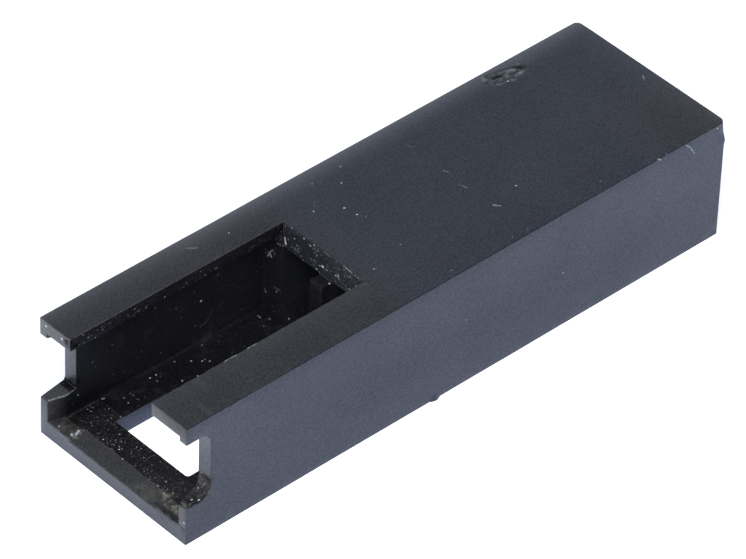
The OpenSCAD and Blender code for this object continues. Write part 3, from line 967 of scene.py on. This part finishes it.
def extendPartition(bm):
    half = nose["half"]
    tip = cad["endWall"] - nose["length"]
    for place in (half, -half):
        cut(bm, facesAt(bm, 0, -1, cad["endWall"]), 1, place)
    cut(bm, facesAt(bm, 0, -1, cad["endWall"]), 2, cad["passageTop"])
    front = []
    for face in facesAt(bm, 0, -1, cad["endWall"]):
        middle = face.calc_center_median() / mm
        if abs(middle.y) < half and middle.z < cad["passageTop"]:
            front.append(face)
    made = bmesh.ops.extrude_face_region(bm, geom=front)["geom"]
    moved = [item for item in made if isinstance(item, bmesh.types.BMVert)]
    bmesh.ops.translate(bm, verts=moved, vec=(-nose["length"] * mm, 0, 0))
    bmesh.ops.delete(bm, geom=front, context="FACES")
    bm.normal_update()
    cut(bm, facesAt(bm, 2, 1, cad["floor"]), 0, tip)
    for place in (half, -half):
        cut(bm, facesAt(bm, 2, 1, cad["floor"]), 1, place)
    foot = []
    for face in facesAt(bm, 2, 1, cad["floor"]) + facesAt(bm, 2, -1, cad["floor"]):
        middle = face.calc_center_median() / mm
        if tip < middle.x < cad["endWall"] and abs(middle.y) < half:
            foot.append(face)
    bmesh.ops.delete(bm, geom=foot, context="FACES")
    bmesh.ops.remove_doubles(bm, verts=bm.verts, dist=near["merge"])
    print("partition nose:", len(front), "front and", len(foot), "foot faces")


def reaches(face, low, high):
    for axis in range(3):
        places = [vert.co[axis] / mm for vert in face.verts]
        if max(places) < low[axis] + near["reach"] or min(places) > high[axis] - near["reach"]:
            return False
    return True


def refine(bm, low, high, step, axes):
    faces = [face for face in bm.faces if reaches(face, low, high)]
    for axis in axes:
        count = round((high[axis] - low[axis]) / step)
        for k in range(count + 1):
            faces = cut(bm, faces, axis, low[axis] + (high[axis] - low[axis]) * k / count)
        faces = [face for face in faces if reaches(face, low, high)]
    return faces


def cutGrid(bm):
    step, clear = housing["gridStep"], housing["gridClear"]
    for axis in range(3):
        taken = sorted({round(vert.co[axis] / mm, 3) for vert in bm.verts})
        place = taken[0] + step
        while place < taken[-1]:
            if min(abs(place - other) for other in taken) >= clear:
                cut(bm, bm.faces[:], axis, place)
                place += step
            else:
                place += housing["gridSearch"]


def cutLip(bm):
    cut(bm, facesAt(bm, 2, 1, cad["floor"]), 0, cad["lipEnd"])
    notch = facesAt(bm, 0, -1, cad["notchEnd"])
    notch = [face for face in notch if face.calc_center_median().y / mm < -cad["wall"]]
    cut(bm, notch, 2, cad["scuffTop"])


def cutCrown(bm):
    for place in housing["crownCuts"]:
        for side in (1, -1):
            top = [face for face in bm.faces if face.normal.z > near["facing"] and onBox(face)]
            cut(bm, top, 1, side * place)


def onBox(face):
    middle = face.calc_center_median()
    for axis in range(3):
        away = min(abs(middle[axis] - cadLow[axis]), abs(middle[axis] - cadHigh[axis]))
        if abs(face.normal[axis]) > near["flat"] and away < near["box"]:
            return True
    return False


def edgeBreak(edge):
    turn = math.degrees(edge.calc_face_angle_signed())
    if abs(turn) < housing["creaseAngle"]:
        return 0.0
    middle = (edge.verts[0].co + edge.verts[1].co) / 2 / mm
    foot = housing["flareFoot"]
    flareFoot = foot["x"][0] < middle.x < foot["x"][1] and abs(middle.y) > foot["y"] and middle.z < foot["z"]
    slack = near["plane"]
    rearCorner = middle.x > cad["rear"] - cad["rearRadius"] - slack
    rearCorner = rearCorner and abs(middle.y) > cad["side"] - cad["rearRadius"] - slack
    if flareFoot or rearCorner and slack < middle.z < cad["ceiling"] + slack:
        return 0.0
    if rearCorner or all(onBox(face) for face in edge.link_faces):
        return housing["outerBreak"]
    return housing["hollowBreak"] if turn < 0 else housing["innerBreak"]


def breakEdges(bm):
    weights = bm.edges.layers.float.new("bevel_weight_edge")
    widest = max(housing["outerBreak"], housing["innerBreak"], housing["hollowBreak"])
    for edge in bm.edges:
        edge[weights] = edgeBreak(edge) / widest
    mesh = bpy.data.meshes.new("housingBreaks")
    bm.to_mesh(mesh)
    bm.free()
    for name in materials:
        mesh.materials.append(materials[name])
    mesh.materials.append(None)
    made = bpy.data.objects.new("housingBreaks", mesh)
    bpy.context.scene.collection.objects.link(made)
    bevel = made.modifiers.new("edgeBreak", "BEVEL")
    bevel.limit_method = "WEIGHT"
    bevel.width = widest * mm
    bevel.segments = housing["breakSegments"]
    bevel.profile = 0.5
    bevel.use_clamp_overlap = False
    bevel.material = len(materials)
    bpy.context.view_layer.update()
    finished = bpy.data.meshes.new_from_object(made.evaluated_get(bpy.context.evaluated_depsgraph_get()))
    bpy.data.objects.remove(made)
    bpy.data.meshes.remove(mesh)
    bm = bmesh.new()
    bm.from_mesh(finished)
    bpy.data.meshes.remove(finished)
    return bm


def finishOf(face):
    x, y, z = face.calc_center_median() / mm
    acrossWall = abs(y)
    up, ahead = face.normal.z, face.normal.x < -zone["ahead"]
    fine, wide, foot = zone["fine"], zone["wide"], zone["foot"]
    endWall, ceiling, floor = cad["endWall"], cad["ceiling"], cad["floor"]
    if x < cad["mouth"] + fine or onBox(face):
        return "satinOutside"
    inNotch = ahead and y < -cad["wall"] and abs(x - cad["notchEnd"]) < zone["near"]
    if inNotch and cad["sill"] < z < cad["scuffTop"]:
        return "sparklyLip"
    if x < endWall + wide and acrossWall < cad["keyway"] + fine and ceiling < z < cad["top"] - wide:
        return "slotBand" if ahead else "slotWall"
    if x > endWall - wide and acrossWall < cad["wall"] and zone["passageFoot"] < z < ceiling:
        if ahead and x < endWall + fine:
            return "slotBand" if z > cad["passageTop"] else "darkCavity"
        return "cavityFloor" if up > zone["floorTilt"] else "passageBlack"
    onSill = x < cad["notchEnd"] - fine and acrossWall > cad["wall"] and up > zone["sillTilt"]
    if onSill and z < cad["sill"] + cad["notchRadius"]:
        if y <= 0:
            return "sparklyLip"
        return "scuffedAndLitRamp" if up > zone["sillFlat"] else "darkCavity"
    if x < endWall and acrossWall < cad["flare"] and floor - foot < z < ceiling + zone["near"]:
        if z > floor + foot:
            return "darkCavity"
        if z > floor + wide or x > cad["lipEnd"]:
            return "cavityFloor"
        return "scuffedAndLitRamp" if x < cad["rampEnd"] else "sparklyLip"
    return "satinOutside"


def chooseFinish(bm):
    order = list(materials)
    wearAndSheen = bm.verts.layers.float.new("wearAndSheenMask")
    dust = bm.verts.layers.float.new("dust")
    grimeAndShade = bm.verts.layers.float.new("grimeAndShade")
    breaks = len(materials)
    for vert, place in placed(bm):
        broken = all(face.material_index == breaks for face in vert.link_faces)
        vert[wearAndSheen] = housing["breakWear"] if broken else 0.0
        reach = housing["cornerReach"]
        inside = abs(place.x - cad["endWall"]) < reach and place.z < cad["passageTop"] - reach
        reach = housing["longEdgeReach"]
        longEdge = place.y < -cad["side"] + reach and place.z > cad["top"] - reach
        # painted shade: darker broken edges along the right long edge and at the cavity's far corners
        vert[grimeAndShade] = 0.0
        if broken and (inside or longEdge):
            vert[grimeAndShade] = housing["longEdgeShade"] if longEdge else housing["cornerShade"]
        slot = abs(abs(place.y) - cad["keyway"]) < housing["rimReach"] and place.x < cad["endWall"]
        lost = housing["rimDust"] * ease(place.z, cad["ceiling"], cad["top"])
        vert[dust] = 1 - lost if slot else 1.0
    for face in bm.faces:
        face.material_index = order.index(finishOf(face))


def painted(bm):
    return bm.verts.layers.float["wearAndSheenMask"], bm.verts.layers.float["grimeAndShade"]


def markSharp(bm):
    for edge in bm.edges:
        edge.smooth = edge.calc_face_angle(0) < math.radians(housing["sharpAngle"])


def ease(value, low, high):
    t = min(max((value - low) / (high - low), 0.0), 1.0)
    return t * t * (3 - 2 * t)


def waveWalls(bm):
    bm.normal_update()
    start = housing["crownStart"]
    for vert, place in placed(bm):
        swell = noise.noise(place / housing["waveLength"]) * housing["waveHeight"]
        vert.co += vert.normal * swell * mm
        if place.z > cad["ceiling"]:
            fall = max(abs(place.y) - start, 0) / (cad["side"] - start)
            vert.co.z -= housing["crownDrop"][1 if place.y > 0 else -1] * fall ** 2 * mm


def raiseSill(bm):
    radius, sill = cad["notchRadius"], cad["sill"]
    bend = cad["notchEnd"] - radius
    for vert, place in placed(bm):
        inside = place.y < cad["wall"] - housing["sillInner"]
        if not inside and place.x < cad["notchEnd"] + housing["sillBehind"]:
            turned = min(max(place.x - bend, 0), radius)
            level = sill + radius - math.sqrt(radius ** 2 - turned ** 2)
            lift = sill + housing["sillRise"] * (place.x - cad["mouth"]) - level
            if lift > 0:
                vert.co.z += lift * (1 - ease(abs(place.z - level), *housing["sillFade"])) * mm


def driftKeyway(bm):
    for vert, place in placed(bm):
        ahead = place.x < cad["endWall"] + keyway["driftBehind"]
        if ahead and place.z > cad["ceiling"] - keyway["driftBelow"]:
            share = 1 - ease(abs(abs(place.y) - cad["keyway"]), *keyway["driftFade"])
            vert.co.y += keyway["drift"] * share * mm


def within(place, low, high):
    return all(low[k] < place[k] < high[k] for k in range(3))


def roughenKeyway(bm):
    noise.seed_set(keyway["burrSeed"])
    for low, high, axis in keyway["rims"].values():
        for vert, place in placed(bm):
            if within(place, low, high):
                shift = Vector()
                for scale, share in keyway["burrNoise"]:
                    shift += noise.noise_vector(place * scale) * share
                shift[axis] = 0
                vert.co += shift * keyway["burrHeight"] * mm


def scarBox():
    reach = Vector((*gateScar["reach"], 0)) * gateScar["margin"]
    middle = Vector((*gateScar["middle"], cad["top"]))
    low, high = middle - reach, middle + reach
    high.y = min(high.y, cad["side"] - gateScar["room"])
    low.z, high.z = low.z - gateScar["room"], high.z + gateScar["room"]
    return low, high


def bumps(place, parts):
    return sum(noise.noise(place * scale) * share for scale, share in parts)


def scarMask(place):
    turn = math.radians(gateScar["turn"])
    dx, dy = place.x - gateScar["middle"][0], place.y - gateScar["middle"][1]
    u = (dx * math.cos(turn) + dy * math.sin(turn)) / gateScar["reach"][0]
    v = (dy * math.cos(turn) - dx * math.sin(turn)) / gateScar["reach"][1]
    power = gateScar["power"]
    away = (abs(u) ** power + abs(v) ** power) ** (1 / power)
    ragged = away + bumps(place, gateScar["ragged"])
    return (1 - ease(ragged, *gateScar["rim"])) * (1 - ease(away, *gateScar["limit"]))


def awayFrom(place, start, end):
    along = Vector(end) - Vector(start)
    offset = place - Vector(start)
    share = min(max(offset.dot(along) / along.length_squared, 0), 1)
    return (offset - along * share).length


def scoreColumn(bm):
    for vert, place in placed(bm):
        bottom = abs(place.z - seam["z"]) < seam["halfBottom"] and seam["y"][0] < place.y < seam["y"][1]
        if bottom and place.x < cad["mouth"] + zone["fine"]:
            vert.co.x += seam["depth"] * mm


def tearScar(bm):
    wearAndSheen, grimeAndShade = painted(bm)
    low, high = scarBox()
    torn = list(materials).index("tornScar")
    for face in bm.faces:
        middle = face.calc_center_median() / mm
        if within(middle, low, high) and scarMask(middle) > gateScar["finishFrom"]:
            face.material_index = torn
    for vert, place in placed(bm):
        if within(place, low, high):
            mask = scarMask(place)
            lump = bumps(place, gateScar["rough"])
            for part in gateScar["lumps"]:
                away = awayFrom(place.xy, *part["line"]) / part["reach"]
                lump += part["height"] * max(1 - away * away, 0)
            lift = min(lump - gateScar["sink"], gateScar["highest"])
            vert.co.z += mask * gateScar["depth"] * lift * mm
            # painted light and shade on the torn relief: the high points pale, the low ones dark
            vert[wearAndSheen] = mask * ease(lump, *gateScar["pale"])
            vert[grimeAndShade] = mask * gateScar["grimeAndShade"] * ease(-lump, *gateScar["pitDarkening"])


def makeNick(bm, nick):
    wearAndSheen, grimeAndShade = painted(bm)
    middle = Vector(nick["at"])
    bm.normal_update()
    touched = [vert for vert in bm.verts if (vert.co / mm - middle).length < nick["reach"]]
    outward = sum((vert.normal for vert in touched), Vector()).normalized()
    rough = 1.0 if nick["depth"] > 0 else nickShape["proudShare"]
    for vert in touched:
        place = vert.co / mm
        share = 1 - ((place - middle).length / nick["reach"]) ** 2
        lump = nickShape["level"] + rough * bumps(place, nickShape["rough"])
        vert.co -= outward * nick["depth"] * share * lump * mm
        pale = nick["pale"] * share * ease(lump, *nickShape["pale"])
        vert[wearAndSheen] = max(vert[wearAndSheen] * (1 - share), pale)
        # the low points darken: grime and painted shade
        vert[grimeAndShade] = nick["grimeAndShade"] * share * ease(-lump, *nickShape["pitDarkening"])


def paintStain(bm, stain):
    wearAndSheen, grimeAndShade = painted(bm)
    for vert, place in placed(bm):
        away = awayFrom(place, *stain["line"]) / stain["reach"]
        if away < 1:
            amount = (1 - away * away) * (stainShape["level"] + bumps(place, stainShape["rough"]))
            vert[wearAndSheen] = min(max(vert[wearAndSheen], stain.get("pale", 0) * amount), 1)
            vert[grimeAndShade] = min(max(vert[grimeAndShade], stain.get("grimeAndShade", 0) * amount), 1)


def refineFlaws(bm):
    for low, high, axis in keyway["rims"].values():
        refine(bm, low, high, keyway["burrStep"], [axis])
    refine(bm, *scarBox(), gateScar["cell"], [0, 1])
    room, half = seam["room"], seam["halfWidth"]
    low = Vector((cad["mouth"] - room, seam["y"][0] - room, seam["z"] - half))
    high = Vector((cad["mouth"] + room, seam["y"][1] + room, seam["z"] + half))
    refine(bm, low, high, half, [2])
    for nick in nicks.values():
        middle = Vector(nick["at"])
        reach = Vector((1, 1, 1)) * nick["reach"] * nickShape["margin"]
        refine(bm, middle - reach, middle + reach, nick["reach"] / nickShape["cells"], [0, 1, 2])
    for stain in stains.values():
        reach = Vector((1, 1, 1)) * stain["reach"]
        low = [min(pair) for pair in zip(*stain["line"])]
        high = [max(pair) for pair in zip(*stain["line"])]
        cell = max(stain["reach"] / stainShape["cells"], stainShape["cell"])
        refine(bm, Vector(low) - reach, Vector(high) + reach, cell, [0, 1, 2])


def makeHousing():
    bm = copyNode("housing")
    taperLedges(bm)
    extendPartition(bm)
    cutGrid(bm)
    cutLip(bm)
    cutCrown(bm)
    bm = breakEdges(bm)
    chooseFinish(bm)
    markSharp(bm)
    refineFlaws(bm)
    waveWalls(bm)
    raiseSill(bm)
    scoreColumn(bm)
    tearScar(bm)
    driftKeyway(bm)
    roughenKeyway(bm)
    for nick in nicks.values():
        makeNick(bm, nick)
    for stain in stains.values():
        paintStain(bm, stain)
    for face in bm.faces:
        face.smooth = True
    mesh = bpy.data.meshes.new("housing")
    bm.to_mesh(mesh)
    print("housing:", len(bm.faces), "faces, open edges:", sum(not e.is_manifold for e in bm.edges))
    bm.free()
    for name in materials:
        mesh.materials.append(materials[name])
    made = bpy.data.objects.new("mouldedHousing", mesh)
    bpy.context.scene.collection.objects.link(made)
    flats = made.modifiers.new("flatWalls", "WEIGHTED_NORMAL")
    flats.keep_sharp = True
    flats.weight = housing["normalWeight"]
    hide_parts("housing")
    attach(made, "root")


makeHousing()
print("housing finished")
